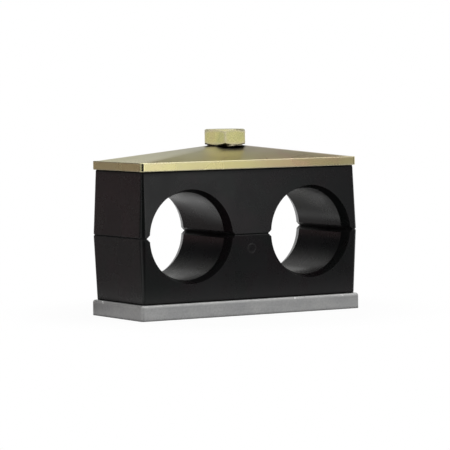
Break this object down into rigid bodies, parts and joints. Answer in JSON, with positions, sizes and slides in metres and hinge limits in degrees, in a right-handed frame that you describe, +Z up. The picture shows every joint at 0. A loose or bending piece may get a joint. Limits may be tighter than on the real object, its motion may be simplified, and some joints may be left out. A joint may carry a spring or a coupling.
{
  "type": "hydraulic tube clamp",
  "caption": "Twin clamp that holds parallel hydraulic tubes between moulded plastic halves, pulled down on a weld plate by a central hexagon bolt through a dished cover plate.",
  "frame": {"origin": "middle of the weld plate's underside", "axes": "+X along the clamp from one tube to the other, +Y along the tubes, +Z up along the bolt"},
  "size_m": [0.082, 0.033, 0.0594],
  "materials": {
    "bare_steel": "bare mild steel, satin",
    "black_plastic": "moulded polypropylene, satin black",
    "yellow_zinc": "zinc plated and yellow passivated"
  },
  "bodies": {
    "base": {"weld_plate": "bare_steel", "threaded_bush": "bare_steel", "lower_clamp_half": "black_plastic"},
    "upper": {"upper_clamp_half": "black_plastic", "cover_plate": "yellow_zinc"},
    "bolt": {"hex_bolt": "yellow_zinc"}
  },
  "joints": [
    {"name": "clamp_open", "type": "slide", "parent": "base", "child": "upper", "axis": [0, 0, 1], "range_m": [0, 0.0075]},
    {"name": "bolt_turn", "type": "hinge", "parent": "upper", "child": "bolt", "pos_m": [0, 0, 0.0541], "axis": [0, 0, 1], "range_deg": [0, 2160]}
  ],
  "couplings": [
    {"joint": "bolt_turn", "follows": "clamp_open", "rad_per_m": 5026.5}
  ]
}
